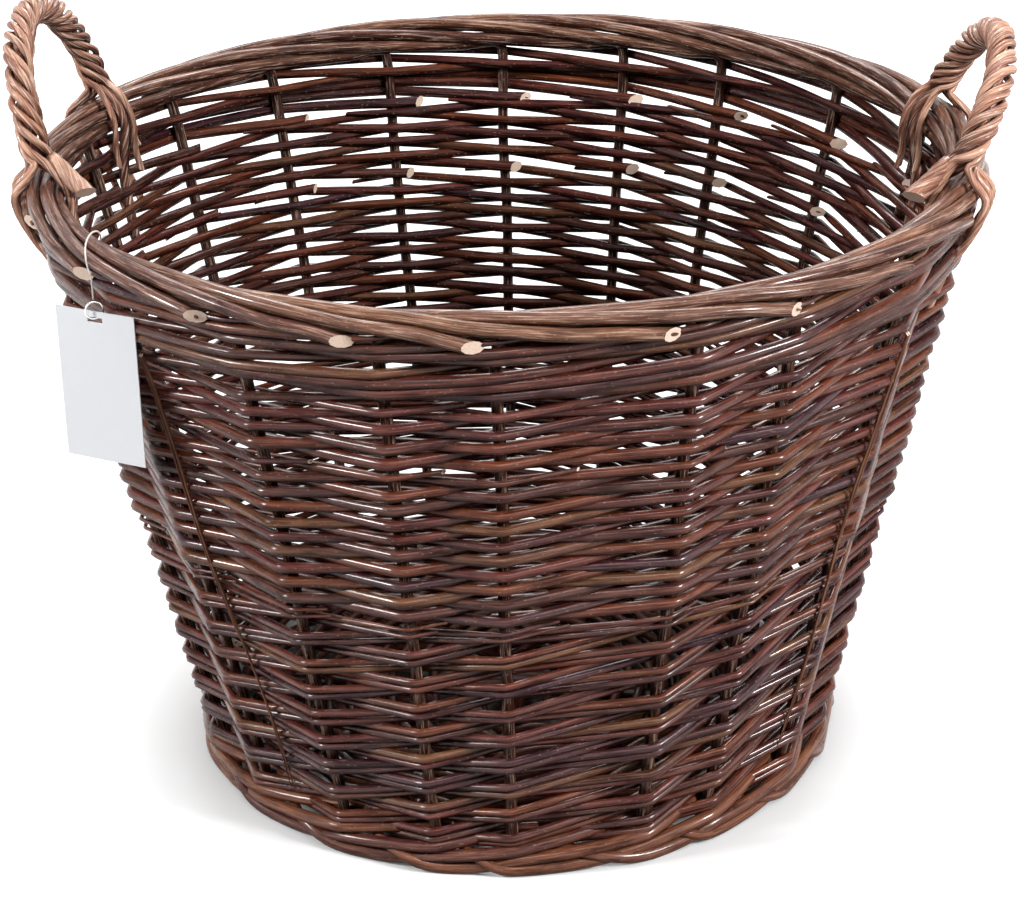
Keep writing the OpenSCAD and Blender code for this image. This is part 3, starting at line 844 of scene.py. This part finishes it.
def ropeLines(turn, rise, lean, seed):
    step, steps, fine = handles["stepTurn"], handles["steps"], handles["finePoints"]
    arch = bowArch(turn, rise, lean)
    ways = [(arch[min(i + 1, steps)] - arch[max(i - 1, 0)]).normalized() for i in range(steps + 1)]
    rods = []
    for strand, (key, tint) in enumerate(shades(seed, handles["strands"])):
        phase = 360 / handles["strands"] * strand
        chance = random.Random(seed + strand)
        drift, sway = chance.uniform(0, 6), chance.uniform(0.04, 0.09)
        coil = []
        for i in range(steps * fine + 1):
            at = min(i // fine, steps - 1)
            part = i / fine - at
            p, way = arch[at].lerp(arch[at + 1], part), ways[at].lerp(ways[at + 1], part).normalized()
            a = phase + step * i / fine + 9 * math.sin(0.31 * i + drift)
            facing = turn + legAngle * (2 * i / fine / steps - 1)
            out = polar(1, facing)
            out = (out - way * out.dot(way)).normalized()
            ring = ropeRing * (0.96 + sway * math.sin(0.23 * i + 2 * drift))
            coil.append(p + ring * (cosD(a) * out + sinD(a) * way.cross(out)))
        path = (ropeEnd(turn, -1, phase, chance)[::-1] + coil
                + ropeEnd(turn, 1, phase + step * steps, chance))
        line = rounded(path, 4)
        thick = ropeRadius * chance.uniform(*handles["thickest"])
        radii = taper(len(line), thick, thick * 0.86)
        if cosD(phase) < -0.9:
            share, rings = handles["stubShare"], handles["stubRings"]
            for i in range(rings):
                radii[i] *= share - (share - 1) * (i / rings) ** 2
        rods.append(grown(line, radii, key, tint))
    return rods


def mirrored(rods, sign):
    for rod in rods:
        rod["line"] = [Vector((p.x * sign, p.y, p.z)) for p in rod["line"]]
    return rods


for side, sizes in handles["sides"].items():
    course = [sizes[name] for name in ("turn", "rise", "lean")]
    bow = rounded(bowLine(*course), 6)
    bowRod = grown(bow, taper(len(bow), bowRadius, bowRadius * 0.94), 0.2, 0.5)
    ropeRods = ropeLines(*course, sizes["seed"])
    for part, rods, extra in [("Bow", [bowRod], 0), ("Rope", ropeRods, 1)]:
        rodPiece(side + "Handle" + part, mirrored(rods, sizes["mirror"]), "handle", sizes["seed"] + extra,
                 "ropeBark", side + "_handle_" + part.lower())
print("handles twisted")


# ---- thin split strands that stand outside the wall

strands = {
    "width": 0.0024, "points": 24, "bow": 0.0024, "apart": 0.0013,
    "sides": {"left": {"places": (17.14, 17.44), "top": borderZ - 0.042, "low": baseZ + 0.012, "seed": 105},
              "right": {"places": (2.97, 2.76), "top": borderZ - 0.048, "low": baseZ + 0.028, "seed": 106}},
}


def strandRods(places, top, low, seed):
    rods = []
    radius = strands["width"] / 2
    away = awayBy(singleBand["width"] / 2)
    for j, (key, tint) in zip((-1, 1), shades(seed, 2)):
        line = []
        for i in range(strands["points"] + 1):
            t = i / strands["points"]
            placeNow = places[0] + (places[1] - places[0]) * t
            z = top + (low - top) * t
            k = math.floor(placeNow)
            toNext = placeNow - k
            off = 2 * abs(toNext - 0.5) * away + singleBand["width"] / 2 + radius + 2 * clearance
            p = betweenStakes(placeNow, z, off, 0)
            sideways = Vector((-p.y, p.x, 0)).normalized()
            line.append(p + sideways * (strands["bow"] * math.sin(9 * t + 1)
                                        + j * strands["apart"] * (0.7 + math.sin(7 * t + j))))
        rods.append(grown(line, taper(len(line), radius * 0.75, radius * 0.5, 0.1), key, tint))
    return rods


for side, route in strands["sides"].items():
    rodPiece(side + "SideStrand", strandRods(**route), "strand", 41, "splitWillow",
             side + "_side_strand")


# ---- the hanging tag

tag = {"cardWidth": 0.046, "cardHeight": 0.082, "cardThick": 0.0006, "cardTurn": 26, "threadLength": 0.013,
       "ringRadius": 0.0045, "wire": 0.001, "ringTurn": 45, "thread": 0.0009, "slotWidth": 0.0086,
       "slotHeight": 0.0028, "edge": 0.0032, "back": 8, "loopPoints": 30, "loopBulge": 0.0022,
       "softEdge": 0.00012}


def threadMaterial():
    board = blank("cottonThread")
    where = board.objectPlace()
    twist = board.add("ShaderNodeTexWave", {"Vector": where, "Scale": 900, "Distortion": 1.5, "Detail": 2},
                      bands_direction="DIAGONAL")
    colour = board.mixed("MIX", twist, (0.74, 0.71, 0.66, 1), (0.9, 0.89, 0.86, 1))
    return surface(board, {"Base Color": colour, "Roughness": 0.85, "Normal": board.bump(0.7, 0.0002, twist)})


def wireMaterial():
    board = blank("brightWire")
    marks = board.noise(board.objectPlace(), 900, 3)
    colour = board.mixed("MIX", marks, (0.62, 0.62, 0.63, 1), (0.84, 0.84, 0.85, 1))
    return surface(board, {"Base Color": colour, "Metallic": 1.0, "Roughness": marks * 0.25 + 0.12})


def cardMaterial():
    board = blank("whiteCard")
    where = board.objectPlace()
    pulp, cloud = board.noise(where, 1400, 4), board.noise(where, 60, 3)
    colour = board.mixed("MIX", pulp * 0.5 + cloud * 0.5, (0.80, 0.82, 0.86, 1), (0.88, 0.89, 0.91, 1))
    return surface(board, {"Base Color": colour, "Roughness": cloud * 0.2 + 0.42,
                           "Normal": board.bump(0.25, 0.0001, pulp)})


threadHug = (borderThick + tag["thread"] / 2 + clearance) / cosD(10)
tagPlace = stakeAngle(17) - 0.4
threadFoot = wallPoint(tagPlace, borderZ, threadHug)
ringMiddle = threadFoot - Vector((0, 0, tag["threadLength"] + tag["ringRadius"] + tag["wire"] / 2
                                  + tag["thread"] / 2 + clearance))
cardHang = ringMiddle - Vector((0, 0, tag["ringRadius"] - tag["wire"] / 2 - 0.0002))
finish["thread"] = threadMaterial()
finish["wire"] = wireMaterial()
finish["card"] = cardMaterial()


def bmeshPiece(build, name, look):
    mesh = bpy.data.meshes.new(name)
    build.to_mesh(mesh)
    build.free()
    mesh.materials.append(finish[look])
    return linked(name, mesh)


def tubePiece(name, path, radius, sides, look, body, node, closed=False):
    # a plain tube with closed ends, or a ring
    build = bmesh.new()
    rings = []
    count = len(path)
    up = Vector((0.3, 0.2, 1)).normalized()
    for i, p in enumerate(path):
        after = path[(i + 1) % count] if closed else path[min(i + 1, count - 1)]
        before = path[i - 1] if closed or i else path[0]
        way = (after - before).normalized()
        across = (up - way * up.dot(way)).normalized()
        other = way.cross(across)
        rings.append([build.verts.new(p + radius * (cosD(360 * j / sides) * across
                                                    + sinD(360 * j / sides) * other))
                      for j in range(sides)])
    for i in range(count if closed else count - 1):
        a, b = rings[i], rings[(i + 1) % count]
        for j in range(sides):
            build.faces.new((a[j], a[(j + 1) % sides], b[(j + 1) % sides], b[j])).smooth = True
    if not closed:
        build.faces.new(list(reversed(rings[0])))
        build.faces.new(rings[-1])
    bmesh.ops.recalc_face_normals(build, faces=build.faces)
    claim(bmeshPiece(build, name, look), body, node)


def tagPieces():
    loop = []
    points = tag["loopPoints"]
    for i in range(points + 1):
        phase = 170 - 172 * i / points
        ring = threadHug + tag["loopBulge"] * math.sin(math.pi * min(1, i / 26)) ** 2
        loop.append(wallPoint(tagPlace - tag["back"] * (1 - i / points),
                              borderZ + ring * sinD(phase), ring * cosD(phase)))
    threadRadius = tag["thread"] / 2
    tubePiece("tagThreadLoop", loop, threadRadius, 8, "thread", "basket", "tag_thread_loop")
    hang = tag["threadLength"] - tag["thread"] - clearance
    drop = [threadFoot - Vector((0, 0, tag["threadLength"] - hang * i / 8)) for i in range(9)]
    tubePiece("tagThread", drop, threadRadius, 10, "thread", "hanger", "tag_thread")
    turn = 90 - tag["cardTurn"] - tag["ringTurn"]
    sideways = polar(1, turn)
    ringPath = [ringMiddle + tag["ringRadius"] * (cosD(a) * Vector((0, 0, 1)) + sinD(a) * sideways)
                for a in range(0, 360, 8)]
    tubePiece("tagRing", ringPath, tag["wire"] / 2, 12, "wire", "hanger", "tag_ring",
              closed=True)


def cardPiece():
    build = bmesh.new()
    w, thick = tag["cardWidth"] / 2, tag["cardThick"] / 2
    top, low = tag["edge"], tag["edge"] - tag["cardHeight"]
    s, h = tag["slotWidth"] / 2, tag["slotHeight"]
    corners = [(-w, low), (w, low), (w, top), (-w, top)], [(-s, -h), (s, -h), (s, 0), (-s, 0)]
    front, frontSlot, back, backSlot = [[build.verts.new((x, y, z)) for x, z in four]
                                        for y in (-thick, thick) for four in corners]
    for i in range(4):
        j = (i + 1) % 4
        build.faces.new([front[i], front[j], frontSlot[j], frontSlot[i]])
        build.faces.new([back[j], back[i], backSlot[i], backSlot[j]])
        build.faces.new([front[j], front[i], back[i], back[j]])
        build.faces.new([frontSlot[i], frontSlot[j], backSlot[j], backSlot[i]])
    bmesh.ops.recalc_face_normals(build, faces=build.faces)
    build.transform(Matrix.Translation(cardHang) @ Matrix.Rotation(math.radians(-tag["cardTurn"]), 4, "Z"))
    card = bmeshPiece(build, "tagCard", "card")
    edge = card.modifiers.new("softEdge", "BEVEL")
    edge.width = tag["softEdge"]
    edge.segments = 2
    plainMesh(card, "tagCard")
    claim(card, "card", "tag_card")


tagPieces()
cardPiece()
print("tag hung")


# ---- floor, light and camera

floorLook = {"size": 6, "seen": (0.8, 0.8, 0.8, 1), "lights": (0.25, 0.25, 0.25, 1)}
worldGlow = 0.04


def backgroundRays(board):
    # 1 for what sees the background: the camera, gloss and glass
    rays = board.add("ShaderNodeLightPath")
    through = rays.out("Is Glossy Ray") + rays.out("Is Transmission Ray")
    return board.combined("MAXIMUM", rays.out("Is Camera Ray"), through)


def floorMaterial():
    # the glow brings the floor to white from the basket outwards; it is left out under the basket and fades in
    # round it, a painted shadow that adds to the basket's cast shadow
    board = blank("paleFloor")
    diffuseRay = board.add("ShaderNodeLightPath").out("Is Diffuse Ray")
    plain = board.add("ShaderNodeBsdfDiffuse", {
        "Color": board.mixed("MIX", diffuseRay, floorLook["seen"], floorLook["lights"])})
    away = board.vector("LENGTH", board.objectPlace())
    glowPastPaintedShadow = board.ranged(away, 0.168, 0.25, 0.0, 0.5)
    farGround = board.ranged(away, 0.6, 2.2, 0, 0.5)
    glow = board.add("ShaderNodeEmission", {
        "Color": (1, 1, 1, 1), "Strength": backgroundRays(board) * (glowPastPaintedShadow + farGround)})
    return covered(board, board.add("ShaderNodeAddShader", {0: plain, 1: glow}))


def studio():
    size = floorLook["size"]
    mesh = bpy.data.meshes.new("floor")
    mesh.from_pydata([(-size, -size, 0), (size, -size, 0), (size, size, 0), (-size, size, 0)],
                     [], [(0, 1, 2, 3)])
    mesh.materials.append(floorMaterial())
    linked("floor", mesh)

    world = bpy.data.worlds.new("studio")
    world.use_nodes = True
    world.node_tree.nodes.clear()
    board = Board(world.node_tree)
    strength = backgroundRays(board) * (1 - worldGlow) + worldGlow
    back = board.add("ShaderNodeBackground", {"Color": (1, 1, 1, 1), "Strength": strength})
    board.add("ShaderNodeOutputWorld", {"Surface": back})
    scene.world = world

    for name, spot, aim, width, tall, power in [
            ("overBack", (0.1, 1.4, 1.75), (0, 0, 0.3), 1.8, 0.3, 30),
            ("overFront", (0.2, -1.6, 2.1), (0, 0, 0.2), 2.6, 0.16, 24),
            ("frontLeft", (-2.3, -0.7, 1.4), (0, 0, 0.2), 0.5, 0.5, 55),
            ("frontRight", (2.0, -1.3, 1.4), (0, 0, 0.2), 0.5, 0.5, 72)]:
        lamp = bpy.data.lights.new(name, "AREA")
        lamp.shape = "RECTANGLE"
        lamp.size = width
        lamp.size_y = tall
        lamp.energy = power
        stand = linked(name, lamp)
        stand.location = spot
        stand.rotation_euler = (Vector(aim) - Vector(spot)).to_track_quat("-Z", "Y").to_euler()


def camera():
    shot = {"lens": 105.5, "distance": 1.694, "elevation": 25.4, "target": (0, 0, 0.1595), "roll": -1.32}
    lens = bpy.data.cameras.new("camera")
    lens.lens = shot["lens"]
    lens.sensor_width = 36
    lens.clip_start = 0.05
    eye = linked("camera", lens)
    target = Vector(shot["target"])
    eye.location = target + shot["distance"] * Vector((0, -cosD(shot["elevation"]), sinD(shot["elevation"])))
    look = (target - eye.location).to_track_quat("-Z", "Y")
    eye.rotation_euler = (look.to_matrix() @ Matrix.Rotation(math.radians(shot["roll"]), 3, "Z")).to_euler()
    scene.camera = eye


studio()
camera()
scene.view_settings.view_transform = "Standard"
print("studio ready")
